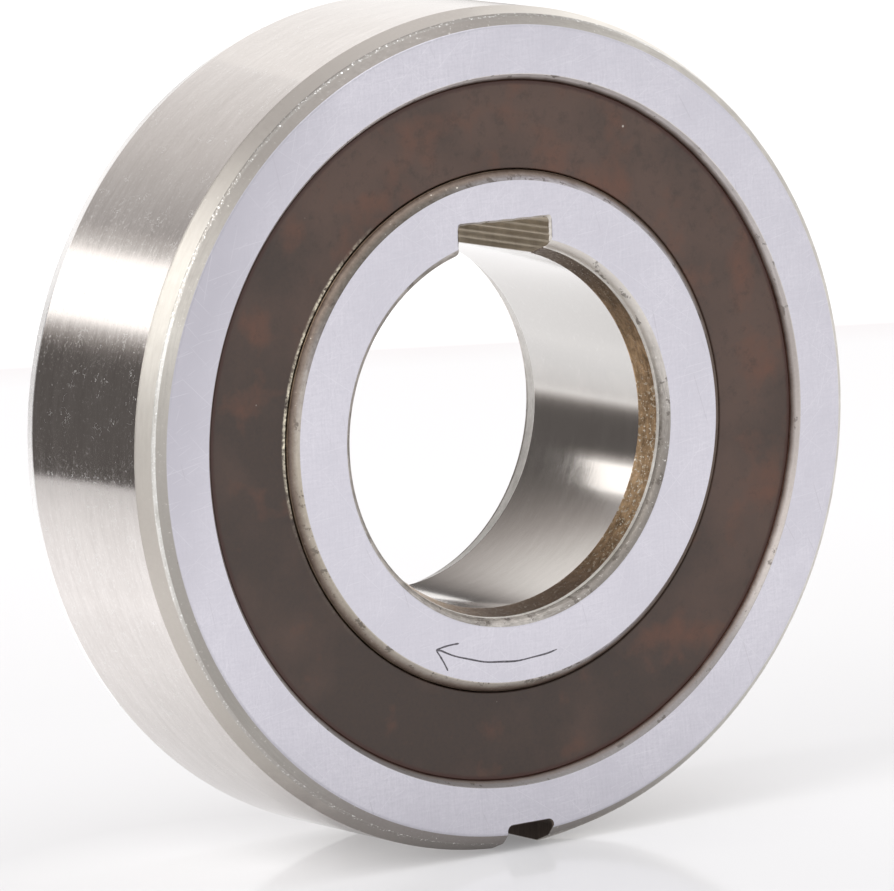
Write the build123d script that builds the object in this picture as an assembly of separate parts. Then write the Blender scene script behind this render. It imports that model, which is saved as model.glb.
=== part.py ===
from build123d import *
import math
import os

# A sprag clutch built into a ball-bearing envelope: two keyed steel rings, a row of balls that
# centres them, a row of sprags that locks them one way, and a thin shield over each side.
# The clutch axis is Y, its centre is the origin, the marked front looks along -Y and Z is up.
# Millimetres and degrees. A clock angle is counted from +X towards +Z.

# ---- Driving dimensions --------------------------------------------------------------------

# Rings: the section from the bore outwards, and the width
bore_radius = 10.0
inner_wall = 4.5
race_gap = 4.2
outer_wall = 4.8
ring_width = 14.0

# Outer ring: corners of two cones that meet in a ridge, and a bevelled mouth for each shield
outer_corner_radial = 1.02
outer_corner_axial = 1.73
outer_ridge_radial = 0.42
outer_ridge_axial = 1.17
mouth_bevel_radial = 0.36
mouth_bevel_axial = 0.52

# Inner ring: shoulder bevel outside, rounded mouth and lead-in cone inside
shoulder_bevel = 0.5
bore_corner_radial = 0.49
bore_corner_axial = 0.62
bore_corner_crown = 0.12
lead_in_radial = 0.4
lead_in_length = 1.25

# Keyways, square to the axis and as long as the rings are wide
inner_key_width = 6.0
inner_key_depth = 1.7
inner_key_corner = 0.2
inner_key_angle = 88.5
outer_key_width = 3.0
outer_key_depth = 1.5
outer_key_corner = 0.35
outer_key_angle = 270.0

# Shields
shield_recess = 0.5
shield_thickness = 0.5
shield_step = 0.75
shield_edge_break = 0.08
shield_rim_gap = 0.1
shield_inner_gap = 0.15

# Ball row, against the rear shield
ball_count = 11
groove_depth = 0.708
groove_conformity = 1.06
ball_clearance = 0.03
first_ball_angle = 90.0

# Ball cage, a one-piece crown that the balls snap into from the sprag side
ball_cage_height = 2.2
ball_cage_back = 0.6
ball_cage_lip = 1.0
ball_cage_end_gap = 0.25
pocket_gap = 0.12
prong_gap_width = 1.8
prong_gap_depth = 2.2

# Sprag row, in the width that is left in front of the balls
sprag_count = 14
sprag_clearance = 0.02
sprag_lean = 0.15
inner_cam_radius = 1.6
outer_cam_radius = 1.7
inner_cam_half_arc = 55.0
outer_cam_half_arc = 50.0
sprag_waist = 2.0
sprag_end_break = 0.12
first_sprag_angle = 270.0 + 180.0 / sprag_count

# Sprag cage
sprag_cage_height = 1.1
sprag_cage_rim = 0.4
sprag_cage_end_gap = 0.15
row_gap = 0.42
window_end_gap = 0.05
window_side_gap = 0.1

# Garter spring, which holds every sprag against both races
spring_section_radius = 0.4
spring_cage_gap = 0.25
spring_side_gap = 0.05
spring_float = 0.15

# ---- Sizes that follow from them -----------------------------------------------------------

inner_race_radius = bore_radius + inner_wall
outer_race_radius = inner_race_radius + race_gap
outer_radius = outer_race_radius + outer_wall
pitch_radius = inner_race_radius + race_gap / 2
half_width = ring_width / 2

lead_in_radius = bore_radius + lead_in_radial
inner_key_floor = bore_radius + inner_key_depth
outer_key_floor = outer_radius - outer_key_depth

shield_front = half_width - shield_recess
shield_back = shield_front - shield_thickness
mouth_radius = outer_race_radius + shield_step
shield_outer_radius = mouth_radius - shield_rim_gap
shield_inner_radius = inner_race_radius + shield_inner_gap

ball_radius = race_gap / 2 + groove_depth - ball_clearance
groove_radius = ball_radius * groove_conformity
half_groove = math.sqrt(groove_radius**2 - (groove_radius - groove_depth) ** 2)
pocket_radius = ball_radius + pocket_gap
ball_cage_rear = shield_back - ball_cage_end_gap
ball_row_y = ball_cage_rear - ball_cage_back - pocket_radius

sprag_cage_front = -shield_back + sprag_cage_end_gap
sprag_cage_rear = ball_row_y - ball_radius - row_gap
window_front = sprag_cage_front + sprag_cage_rim
window_rear = sprag_cage_rear - sprag_cage_rim
sprag_row_y = (window_front + window_rear) / 2
sprag_length = window_rear - window_front - 2 * window_end_gap
sprag_front = sprag_row_y - sprag_length / 2

spring_circle = pitch_radius + sprag_cage_height / 2 + spring_cage_gap + spring_section_radius
spring_y = sprag_front + spring_side_gap + spring_section_radius


# ---- Shared shapes -------------------------------------------------------------------------


def crown(start, end, height):
    """The middle of an arc from start to end that swells to the right of the way it runs."""
    run_x = end[0] - start[0]
    run_y = end[1] - start[1]
    length = math.hypot(run_x, run_y)
    middle_x = (start[0] + end[0]) / 2 + height * run_y / length
    middle_y = (start[1] + end[1]) / 2 - height * run_x / length
    return (middle_x, middle_y)


def outline(stations):
    """A face bounded by straight runs and arcs; a station is (point, point on the arc to it)."""
    edges = []
    for index, (point, way) in enumerate(stations):
        start = stations[index - 1][0]
        if way is None:
            edges.append(Line(start, point))
        else:
            edges.append(ThreePointArc(start, way, point))
    return make_face(Wire(edges))


def turned(stations):
    """An outline in (radius, axial place) turned once round the clutch axis."""
    return revolve(outline(stations), Axis.Y)


def band(middle_radius, height, front, rear):
    """A ring of square section about a middle radius, between two axial places."""
    inside = middle_radius - height / 2
    outside = middle_radius + height / 2
    corners = [(inside, front), (outside, front), (outside, rear), (inside, rear)]
    return turned([(corner, None) for corner in corners])


def clock(angle):
    """Turns a shape that lies on +Z round the clutch axis to a clock angle."""
    return Rot(0, 90 - angle, 0)


def row_angles(count, first):
    """Equally spaced clock angles."""
    return [first + 360 / count * index for index in range(count)]


def key_slot(slot_width, low, high, corner, floor_side):
    """A straight slot along the clutch axis between two heights, its floor corners rounded."""
    slot = Pos(0, 0, (low + high) / 2) * Box(slot_width, 2 * ring_width, high - low)
    floor_edges = slot.edges().filter_by(Axis.Y).group_by(Axis.Z)[floor_side]
    return fillet(floor_edges, corner)


# ---- Rings ---------------------------------------------------------------------------------


def make_outer_ring():
    """Case: ground outside, sprag race and ball groove inside, a mouth for each shield."""
    groove_bottom = (outer_race_radius + groove_depth, ball_row_y)
    face_edge = outer_radius - outer_corner_radial
    side_edge = half_width - outer_corner_axial
    mouth_edge = mouth_radius + mouth_bevel_radial
    mouth_floor = half_width - mouth_bevel_axial
    ridge_radius = outer_radius - outer_ridge_radial
    ridge_side = side_edge + outer_ridge_axial
    ring = turned(
        [
            ((ridge_radius, -ridge_side), None),
            ((outer_radius, -side_edge), None),
            ((outer_radius, side_edge), None),
            ((ridge_radius, ridge_side), None),
            ((face_edge, half_width), None),
            ((mouth_edge, half_width), None),
            ((mouth_radius, mouth_floor), None),
            ((mouth_radius, shield_back), None),
            ((outer_race_radius, shield_back), None),
            ((outer_race_radius, ball_row_y + half_groove), None),
            ((outer_race_radius, ball_row_y - half_groove), groove_bottom),
            ((outer_race_radius, -shield_back), None),
            ((mouth_radius, -shield_back), None),
            ((mouth_radius, -mouth_floor), None),
            ((mouth_edge, -half_width), None),
            ((face_edge, -half_width), None),
        ]
    )
    slot = key_slot(outer_key_width, outer_key_floor, outer_radius + outer_key_depth, outer_key_corner, 0)
    return ring - clock(outer_key_angle) * slot


def make_inner_ring():
    """Shaft ring: bore with a lead-in cone at each end, bevelled shoulders, race and groove."""
    groove_bottom = (inner_race_radius - groove_depth, ball_row_y)
    shoulder_edge = inner_race_radius - shoulder_bevel
    shoulder_side = half_width - shoulder_bevel
    bore_edge = lead_in_radius + bore_corner_radial
    cone_outer = half_width - bore_corner_axial
    cone_inner = cone_outer - lead_in_length
    rear_mouth = (bore_edge, half_width)
    rear_cone = (lead_in_radius, cone_outer)
    front_cone = (lead_in_radius, -cone_outer)
    front_mouth = (bore_edge, -half_width)
    ring = turned(
        [
            ((inner_race_radius, -shoulder_side), None),
            ((inner_race_radius, ball_row_y - half_groove), None),
            ((inner_race_radius, ball_row_y + half_groove), groove_bottom),
            ((inner_race_radius, shoulder_side), None),
            ((shoulder_edge, half_width), None),
            (rear_mouth, None),
            (rear_cone, crown(rear_mouth, rear_cone, bore_corner_crown)),
            ((bore_radius, cone_inner), None),
            ((bore_radius, -cone_inner), None),
            (front_cone, None),
            (front_mouth, crown(front_cone, front_mouth, bore_corner_crown)),
            ((shoulder_edge, -half_width), None),
        ]
    )
    slot = key_slot(inner_key_width, bore_radius / 2, inner_key_floor, inner_key_corner, -1)
    return ring - clock(inner_key_angle) * slot


# ---- Shields -------------------------------------------------------------------------------


def make_shield(side):
    """A flat washer on the mouth's step; side is -1 for the front and +1 for the rear."""
    washer = turned(
        [
            ((shield_outer_radius, shield_back), None),
            ((shield_outer_radius, shield_front - shield_edge_break), None),
            ((shield_outer_radius - shield_edge_break, shield_front), None),
            ((shield_inner_radius + shield_edge_break, shield_front), None),
            ((shield_inner_radius, shield_front - shield_edge_break), None),
            ((shield_inner_radius, shield_back), None),
        ]
    )
    return washer if side > 0 else mirror(washer, Plane.XZ)


# ---- Ball row ------------------------------------------------------------------------------


def make_ball(angle):
    """A ball on the pitch circle."""
    return clock(angle) * Pos(0, ball_row_y, pitch_radius) * Sphere(ball_radius)


def make_ball_cage():
    """A crown: a back ring behind the balls and two prongs round each ball."""
    prong_tip = ball_row_y - ball_cage_lip
    cage = band(pitch_radius, ball_cage_height, prong_tip, ball_cage_rear)
    pocket = Pos(0, ball_row_y, pitch_radius) * Sphere(pocket_radius)
    gap_block = Box(prong_gap_width, 2 * prong_gap_depth, 2 * ball_cage_height)
    prong_gap = Pos(0, prong_tip, pitch_radius) * gap_block
    half_step = 180 / ball_count
    for angle in row_angles(ball_count, first_ball_angle):
        cage -= clock(angle) * pocket
        cage -= clock(angle + half_step) * prong_gap
    return cage


# ---- Sprag row -----------------------------------------------------------------------------


def sprag_heads():
    """The two cams of a sprag that stands on +Z: (centre x, centre height, radius, half arc)."""
    inner_reach = inner_race_radius + sprag_clearance + inner_cam_radius
    outer_reach = outer_race_radius - sprag_clearance - outer_cam_radius
    inner_height = math.sqrt(inner_reach**2 - sprag_lean**2)
    outer_height = math.sqrt(outer_reach**2 - sprag_lean**2)
    inner_cam = (sprag_lean, inner_height, inner_cam_radius, math.radians(inner_cam_half_arc))
    outer_cam = (-sprag_lean, outer_height, outer_cam_radius, math.radians(outer_cam_half_arc))
    return inner_cam, outer_cam


def cam_points(cam, up):
    """The right end, crest and left end of a cam's arc; up is +1 for the outer cam, -1 inside."""
    centre_x, height, radius, half_arc = cam
    reach = radius * math.sin(half_arc)
    rise = up * radius * math.cos(half_arc)
    right = (centre_x + reach, height + rise)
    crest = (centre_x, height + up * radius)
    left = (centre_x - reach, height + rise)
    return right, crest, left


def make_sprag(angle):
    """Two offset cams joined by a waist, notched at the front end for the garter spring."""
    inner_cam, outer_cam = sprag_heads()
    inner_right, inner_crest, inner_left = cam_points(inner_cam, -1)
    outer_right, outer_crest, outer_left = cam_points(outer_cam, 1)
    profile = outline(
        [
            (inner_right, inner_crest),
            (outer_right, (sprag_waist / 2, pitch_radius)),
            (outer_left, outer_crest),
            (inner_left, (-sprag_waist / 2, pitch_radius)),
        ]
    )
    blank = extrude(Plane.XZ * profile, sprag_length / 2, both=True)
    ends = blank.faces().filter_by(Axis.Y)
    blank = chamfer(ends.edges(), sprag_end_break)
    sprag = Pos(0, sprag_row_y, 0) * blank
    notch_floor = spring_circle - spring_section_radius - spring_float
    notch_back = spring_y + spring_section_radius + spring_side_gap
    notch_height = outer_radius - notch_floor
    notch = band(notch_floor + notch_height / 2, notch_height, -half_width, notch_back)
    return clock(angle) * (sprag - notch)


def make_sprag_cage():
    """A plain steel ribbon ring with one window for each sprag."""
    cage = band(pitch_radius, sprag_cage_height, sprag_cage_front, sprag_cage_rear)
    inner_cam, _ = sprag_heads()
    widest, _, _ = cam_points(inner_cam, -1)
    window = Box(2 * (widest[0] + window_side_gap), window_rear - window_front, 3 * sprag_cage_height)
    for angle in row_angles(sprag_count, first_sprag_angle):
        cage -= clock(angle) * Pos(0, sprag_row_y, pitch_radius) * window
    return cage


def make_garter_spring():
    """The closed garter spring, as the round envelope of its close-wound coils."""
    section = Pos(spring_circle, spring_y) * Circle(spring_section_radius)
    return revolve(section, Axis.Y)


# ---- The clutch ----------------------------------------------------------------------------


def make_clutch():
    """Every piece by its node's name."""
    pieces = {
        "outer_ring": make_outer_ring(),
        "inner_ring": make_inner_ring(),
        "front_shield": make_shield(-1),
        "rear_shield": make_shield(1),
        "ball_cage": make_ball_cage(),
        "sprag_cage": make_sprag_cage(),
        "garter_spring": make_garter_spring(),
    }
    for index, angle in enumerate(row_angles(ball_count, first_ball_angle), 1):
        pieces[f"ball_{index:02d}"] = make_ball(angle)
    for index, angle in enumerate(row_angles(sprag_count, first_sprag_angle), 1):
        pieces[f"sprag_{index:02d}"] = make_sprag(angle)
    return pieces


os.makedirs("parts", exist_ok=True)
for node, piece in make_clutch().items():
    export_step(piece, f"parts/{node}.step")
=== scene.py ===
import math

import bmesh
import bpy
import numpy as np
from mathutils import Matrix, Vector


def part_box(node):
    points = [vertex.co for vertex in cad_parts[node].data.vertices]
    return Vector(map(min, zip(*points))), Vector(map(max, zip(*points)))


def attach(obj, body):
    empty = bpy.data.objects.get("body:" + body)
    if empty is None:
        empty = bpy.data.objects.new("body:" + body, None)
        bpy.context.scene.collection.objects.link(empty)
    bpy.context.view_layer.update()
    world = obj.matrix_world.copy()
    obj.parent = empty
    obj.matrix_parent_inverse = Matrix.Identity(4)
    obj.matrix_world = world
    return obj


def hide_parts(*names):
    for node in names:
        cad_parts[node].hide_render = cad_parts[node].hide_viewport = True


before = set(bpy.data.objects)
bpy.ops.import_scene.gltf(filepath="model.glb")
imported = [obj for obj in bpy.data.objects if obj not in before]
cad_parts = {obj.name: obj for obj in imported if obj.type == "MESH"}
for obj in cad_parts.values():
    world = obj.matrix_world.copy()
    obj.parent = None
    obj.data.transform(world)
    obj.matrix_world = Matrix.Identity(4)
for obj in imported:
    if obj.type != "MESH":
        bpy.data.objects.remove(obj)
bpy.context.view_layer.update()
scene = bpy.context.scene
MM = 0.001


# ---- Camera --------------------------------------------------------------------------------
# A long macro lens about half a metre off, left of the axis and a little above it, so that the
# front, the ground outside and the far side of the bore all show.

camera_spot = Vector((-302.373, -452.222, 80.556))
look_ahead = Vector((0.550124, 0.821671, -0.149069)).normalized()
look_right = Vector((0.825529, -0.562020, -0.051336))
look_right = (look_right - look_right.dot(look_ahead) * look_ahead).normalized()
look_up = look_right.cross(look_ahead)

camera = bpy.data.objects.new("camera", bpy.data.cameras.new("camera"))
scene.collection.objects.link(camera)
facing = Matrix((look_right, look_up, -look_ahead)).transposed().to_4x4()
camera.matrix_world = Matrix.Translation(camera_spot * MM) @ facing
camera.data.sensor_width = 36
camera.data.lens = 396.59
camera.data.clip_start = 0.01
camera.data.clip_end = 50
scene.camera = camera
scene.view_settings.view_transform = "Standard"


# ---- Table ---------------------------------------------------------------------------------
# A white glossy table top, which mirrors the foot of the clutch softly. The light that a lit tent
# throws on it is painted in as its own glow: in reflections a pool round the foot, strongest
# behind it, and for the camera a glow that is strongest round the foot. Lengths in its material
# are in metres.


def add(tree, kind, inputs=None, output=0, **settings):
    """Adds a shader node; inputs maps a socket to a value or to the output that feeds it."""
    made = tree.nodes.new("ShaderNode" + kind)
    for name, value in settings.items():
        setattr(made, name, value)
    for socket, value in (inputs or {}).items():
        if isinstance(value, bpy.types.NodeSocket):
            tree.links.new(value, made.inputs[socket])
        else:
            made.inputs[socket].default_value = value
    return made.outputs[output]


def calc(tree, operation, *values):
    """A Math node of up to three values."""
    return add(tree, "Math", dict(enumerate(values)), operation=operation)


def vector(tree, operation, *values):
    """A Vector Math node; lengths, distances and dot products come out as one number."""
    single = operation in ("LENGTH", "DISTANCE", "DOT_PRODUCT")
    return add(tree, "VectorMath", dict(enumerate(values)), int(single), operation=operation)


def span(tree, value, low, high, to_low=0.0, to_high=1.0):
    """A value carried from one range to another and held at its ends."""
    return add(tree, "MapRange", {0: value, 1: low, 2: high, 3: to_low, 4: to_high})


def blend(tree, share, low, high):
    """A colour between two others."""
    return add(tree, "Mix", {0: share, 6: low, 7: high}, output=2, data_type="RGBA")


def ramp(tree, share, stops):
    """A colour ramp over a share; each stop is a position from 0 to 1 and a colour, in order."""
    made = add(tree, "ValToRGB", {"Fac": share})
    elements = made.node.color_ramp.elements
    for _ in stops[2:]:
        elements.new(0.5)
    for element, (position, colour) in zip(elements, stops):
        element.position, element.color = position, colour
    return made


def blank(name):
    """A new material: its node tree and its Principled shader."""
    made = bpy.data.materials.new(name)
    made.use_nodes = True
    return made, made.node_tree, made.node_tree.nodes["Principled BSDF"]


def put_mesh(name, points, faces, kinds=None, materials=(), sharp=28):
    """A mesh object from points in mm; the loose seams are merged and the faces turned outwards."""
    mesh = bpy.data.meshes.new(name)
    mesh.from_pydata((np.asarray(points, float) * MM).tolist(), [], faces.tolist())
    for material in materials:
        mesh.materials.append(material)
    if kinds is not None:
        mesh.polygons.foreach_set("material_index", np.asarray(kinds, np.int32).ravel())
    shell = bmesh.new()
    shell.from_mesh(mesh)
    bmesh.ops.remove_doubles(shell, verts=shell.verts, dist=2e-7)
    bmesh.ops.dissolve_degenerate(shell, edges=shell.edges, dist=2e-7)
    bmesh.ops.recalc_face_normals(shell, faces=shell.faces)
    shell.to_mesh(mesh)
    shell.free()
    mesh.shade_smooth()
    mesh.set_sharp_from_angle(angle=math.radians(sharp))
    made = bpy.data.objects.new(name, mesh)
    scene.collection.objects.link(made)
    return made


def grid_faces(rows, columns, close_rows=False, close_columns=False):
    """Quads between neighbouring rows and columns of a grid, with either way closed on itself."""
    i = np.arange(rows if close_rows else rows - 1)[:, None]
    j = np.arange(columns if close_columns else columns - 1)[None, :]
    i1 = (i + 1) % rows
    j1 = (j + 1) % columns
    quads = np.stack([i * columns + j, i1 * columns + j, i1 * columns + j1, i * columns + j1], -1)
    return quads.reshape(-1, 4)


floor_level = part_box("outer_ring")[0].z / MM
table_reach, table_sides = 3000.0, 64
table_glow = (1.0, 0.99, 0.995, 1)
camera_glow = 0.08
matt_share = 0.5
lee_spot = (-0.013, 0.0, floor_level * MM)
away_from_camera = (0.5563, 0.8309, 0.0)
pool_levels = (
    (0.0, 0.22), (0.03, 0.30), (0.09, 0.46), (0.24, 0.62), (0.45, 0.5), (0.7, 0.36), (1.0, 0.32),
)

table_white, tree, shader = blank("table_white")
place = add(tree, "TexCoord", output=3)
direct = add(tree, "LightPath", output=0)
from_middle = vector(tree, "LENGTH", place)
shader.inputs["Roughness"].default_value = 0.1
shader.inputs["IOR"].default_value = 1.5
shader.inputs["Emission Color"].default_value = table_glow

pool = ramp(
    tree, span(tree, from_middle, 0.026, 0.16), [(spot, (g, g, g, 1)) for spot, g in pool_levels]
)
depth = add(tree, "SeparateXYZ", {0: place}).node.outputs[1]
ahead = span(tree, depth, -0.06, -0.035, 1.0, 0.3)
behind = span(tree, depth, -0.01, 0.0, 0.3, 1.0)
pool = calc(tree, "MULTIPLY", calc(tree, "MAXIMUM", ahead, behind), pool)
glow = add(tree, "Mix", {0: direct, 2: pool, 3: camera_glow}, output=0)
tree.links.new(glow, shader.inputs["Emission Strength"])

cloud = add(tree, "TexNoise", {"Vector": place, "Scale": 9.0, "Detail": 2.0})
tone = ramp(tree, cloud, [(0.0, (0.67, 0.668, 0.675, 1)), (1.0, (0.71, 0.708, 0.715, 1))])
back_edge = vector(tree, "DOT_PRODUCT", place, away_from_camera)
# Painted shade: the table top's colour darkens towards the camera.
nearness = span(tree, back_edge, 0.11, -0.03)
tone = blend(tree, nearness, tone, (0.58, 0.58, 0.59, 1))
tone = blend(tree, span(tree, back_edge, 0.186, 0.196), tone, (0.655, 0.63, 0.635, 1))
tone = blend(tree, span(tree, back_edge, 0.196, 0.2), tone, (0.95, 0.95, 0.95, 1))
tree.links.new(tone, shader.inputs["Base Color"])

matt = add(
    tree, "BsdfPrincipled", {"Base Color": tone, "Roughness": 1.0, "Specular IOR Level": 0.0}
)
matt.node.inputs["Emission Color"].default_value = table_glow
# Painted light for the camera: the matt half glows, a little less towards the camera, more round
# the foot and most just left of it, which lightens the shadow there.
fill = span(tree, nearness, 0.0, 1.0, 0.285, 0.25)
foot = span(tree, from_middle, 0.06, 0.015, 0.0, 0.1)
lee = span(tree, vector(tree, "DISTANCE", place, lee_spot), 0.016, 0.0, 0.0, 0.44)
fill = calc(tree, "ADD", calc(tree, "ADD", fill, foot), lee)
tree.links.new(fill, matt.node.inputs["Emission Strength"])
softened = add(
    tree,
    "MixShader",
    {0: calc(tree, "MULTIPLY", direct, matt_share), 1: shader.outputs[0], 2: matt},
)
tree.links.new(softened, tree.nodes["Material Output"].inputs["Surface"])

# The table's disc has its points on three circles, the first of them with no radius.
turn = np.linspace(0, 2 * np.pi, table_sides, endpoint=False)
rim = np.stack([np.cos(turn), np.sin(turn)], -1)
reach = np.array([0.0, 0.1, 1.0])[:, None, None] * table_reach
level = np.full((3, table_sides, 1), floor_level)
disc = np.concatenate([rim[None] * reach, level], -1).reshape(-1, 3)
quads = grid_faces(3, table_sides, close_columns=True)
table = put_mesh("table", disc, quads, materials=[table_white])


# ---- Studio --------------------------------------------------------------------------------
# A white tent lit from outside, darker on its left, with one soft window left of the clutch and
# one above it. Behind the clutch stand a far bright card, which gives the ground outside and
# the bore their bright bands, and three flags, which give them their dark ones.

tent_left, tent_right = (0.265, 0.255, 0.25, 1), (0.88, 0.865, 0.86, 1)
tent_front, tent_seen = (0.68, 0.68, 0.69, 1), (0.8, 0.8, 0.8, 1)
tent_strength = 1.3

world = bpy.data.worlds.new("tent")
world.use_nodes = True
scene.world = world
tree = world.node_tree
glow = tree.nodes["Background"]
way = add(tree, "TexCoord", output=0)
depth = add(tree, "SeparateXYZ", {0: way}).node.outputs[1]
lean = vector(tree, "DOT_PRODUCT", way, (0.86, 0.5, 0.0))
steps = [(spot, (g, g * 0.965, g * 0.95, 1)) for spot, g in ((0.575, 0.40), (0.66, 0.58))]
tent = ramp(
    tree, span(tree, lean, -1.0, 1.0), [(0.42, tent_left), *steps, (0.84, tent_right)]
)
tent = blend(tree, span(tree, depth, 0.3, -0.2), tent, tent_front)
tent = blend(tree, add(tree, "LightPath", output=0), tent, tent_seen)
tree.links.new(tent, glow.inputs["Color"])
glow.inputs["Strength"].default_value = tent_strength


def window(name, target, bearing, height, distance, size, radiance, colour):
    """A soft area lamp that faces its target from a bearing and a height in degrees.

    The bearing runs from +Y towards +X, and lengths are in mm.
    """
    lamp = bpy.data.lights.new(name, "AREA")
    lamp.shape = "RECTANGLE"
    lamp.size, lamp.size_y = size[0] * MM, size[1] * MM
    lamp.energy = radiance * math.pi * lamp.size * lamp.size_y
    lamp.color = colour
    made = bpy.data.objects.new(name, lamp)
    b, h = math.radians(bearing), math.radians(height)
    away = Vector((math.sin(b) * math.cos(h), math.cos(b) * math.cos(h), math.sin(h)))
    made.location = (Vector(target) + away * distance) * MM
    made.rotation_euler = away.to_track_quat("Z", "Y").to_euler()
    made.visible_camera = False
    scene.collection.objects.link(made)


window("left_window", (0, 0, 0), -100.0, 40.0, 560, (420, 330), 2.6, (1.0, 0.985, 0.96))
window("top_window", (0, 40, 0), 150.0, 74.0, 700, (500, 500), 1.2, (0.97, 0.98, 1.0))

card_bearing = math.radians(-33.0)
card_away = np.array([math.sin(card_bearing), math.cos(card_bearing)])
card_across = np.array([math.cos(card_bearing), -math.sin(card_bearing)])
card_glow = 2.0


def screen(name, distance, outline, levels):
    """An upright card behind the clutch on its left, which glows.

    A point of its outline is (mm across, height). Its glow runs through levels, each (height,
    brightness), and the dimmer it is, the warmer.
    """
    made, tree, shader = blank(name + "_cloth")
    place = add(tree, "TexCoord", output=3)
    height = add(tree, "SeparateXYZ", {0: place}).node.outputs[2]
    low, high = levels[0][0] * MM, levels[-1][0] * MM
    stops = []
    for at, level in levels:
        warm = 1.0 - min(1.0, level * 2.5)
        colour = (level, level * (0.98 - 0.09 * warm), level * (0.965 - 0.13 * warm), 1)
        stops.append(((at * MM - low) / (high - low), colour))
    tone = ramp(tree, span(tree, height, low, high), stops)
    tree.links.new(tone, shader.inputs["Emission Color"])
    shader.inputs["Emission Strength"].default_value = card_glow
    shader.inputs["Base Color"].default_value = (0.02, 0.02, 0.02, 1)
    shader.inputs["Roughness"].default_value = 1.0
    corners = [(*(card_away * distance + card_across * s), h) for s, h in outline]
    card = put_mesh(name, corners, np.arange(len(corners))[None], materials=[made])
    card.visible_camera = False
    card.visible_shadow = False
    card.visible_diffuse = False


flag_foot, flag_top, flag_split, flag_distance = floor_level + 0.1, 24, -4, 145
screen(
    "flag_low",
    flag_distance,
    [(-75, flag_foot), (flag_split, flag_foot), (flag_split, flag_top), (-75, flag_top)],
    [(flag_foot, 0.05), (flag_top, 0.048)],
)
screen(
    "flag_low_right",
    flag_distance,
    [(flag_split, flag_foot), (80, flag_foot), (80, flag_top), (flag_split, flag_top)],
    [
        (flag_foot, 0.50), (-21, 0.36), (-18, 0.2), (-14, 0.09), (-8, 0.055), (0, 0.046),
        (flag_top, 0.046),
    ],
)
screen(
    "flag_near",
    30,
    [
        (7.0, 2.5), (90, 2.5), (90, 70), (17, 70), (17, 27), (13.5, 19), (10.2, 13), (9.2, 10),
        (8.0, 7.3),
    ],
    [
        (2.5, 0.046), (5, 0.046), (7.3, 0.05), (10, 0.075), (12.4, 0.11), (15, 0.16),
        (17.5, 0.22), (20.5, 0.32), (25, 0.44), (32, 0.54), (70, 0.6),
    ],
)
screen(
    "back_window",
    900,
    [(-520, -60), (300, -60), (300, 445), (-520, 445)],
    [
        (-60, 0.048), (140, 0.05), (165, 0.08), (182, 0.15), (198, 0.27), (211, 0.38),
        (221, 0.56), (229, 0.92), (384, 0.92), (390, 0.6), (400, 0.45), (412, 0.38),
        (430, 0.32), (445, 0.3),
    ],
)


# ---- Outer ring ----------------------------------------------------------------------------
# The case: bearing steel, hardened, ground outside and on both faces, with turned corners and a
# key slot milled along its foot. The shields sit in a mouth turned into each face.

ring_wide = 14.0
half = ring_wide / 2
outer_radius, outer_race, mouth_radius = 23.5, 18.7, 19.45
key_half, key_floor, key_corner, key_flare = 1.5, 22.0, 0.35, 0.06
key_bearing = 270.0
corner_in, corner_along = 1.02, 1.73
ridge_radius, ridge_y = outer_radius - 0.42, half - corner_along + 1.17
mouth_edge, mouth_start = mouth_radius + 0.36, half - 0.52
shield_back = 6.0
groove_y, groove_half, groove_depth = 2.2518, 1.897, 0.708
face_middle = 21.0
wall_radius = math.hypot(key_half + key_flare, key_floor + key_corner - key_flare)


def crowned(start, end, height, count=9):
    """The points inside an arc from start to end: the chord plus a parabola of that height."""
    u = np.linspace(0, 1, count + 2)[1:-1, None]
    start, end = np.array(start, float), np.array(end, float)
    run = end - start
    out = np.array([run[1], -run[0]]) / np.hypot(*run)
    return start + run * u + out * (4 * height * u * (1 - u))


def cut_corners(stations, hold=0.03, steps=5):
    """Rows of a closed profile: each corner becomes a short quadratic curve of its own cut.

    The curve leaves one cut before the corner, heads for it and ends one cut past it. A station is
    (radius, y, cut, kind of the run behind it, kind of its curve if another). A further row close
    before and behind each curve keeps the flats beside it flat when the surface is shaded smooth.
    A station without a cut stays one row.
    """
    points = np.array([s[0:2] for s in stations], float)
    cuts = np.array([s[2] for s in stations], float)
    kinds = np.array([s[3] for s in stations])
    curve_kinds = np.array([s[-1] for s in stations])
    back = np.roll(points, 1, 0) - points
    ahead = np.roll(points, -1, 0) - points
    run = np.linalg.norm(ahead, axis=1)
    before = np.linalg.norm(back, axis=1)
    back /= before[:, None]
    ahead /= run[:, None]
    step_back = cuts + np.minimum(hold, 0.2 * before)
    step_on = cuts + np.minimum(hold, 0.2 * run)
    u = np.linspace(0, 1, steps)[None, :, None]
    a = (points + back * cuts[:, None])[:, None]
    b = (points + ahead * cuts[:, None])[:, None]
    curve = (1 - u) ** 2 * a + 2 * u * (1 - u) * points[:, None] + u**2 * b
    first = (points + back * step_back[:, None])[:, None]
    last = (points + ahead * step_on[:, None])[:, None]
    rows = np.concatenate([first, curve, last], 1)
    names = np.repeat(curve_kinds[:, None], steps + 2, 1)
    names[:, 0] = np.roll(kinds, 1)
    names[:, steps:] = kinds[:, None]
    keep = np.ones((len(points), steps + 2), bool)
    keep[cuts == 0] = np.arange(steps + 2) == steps
    return rows[keep], names[keep]


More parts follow.
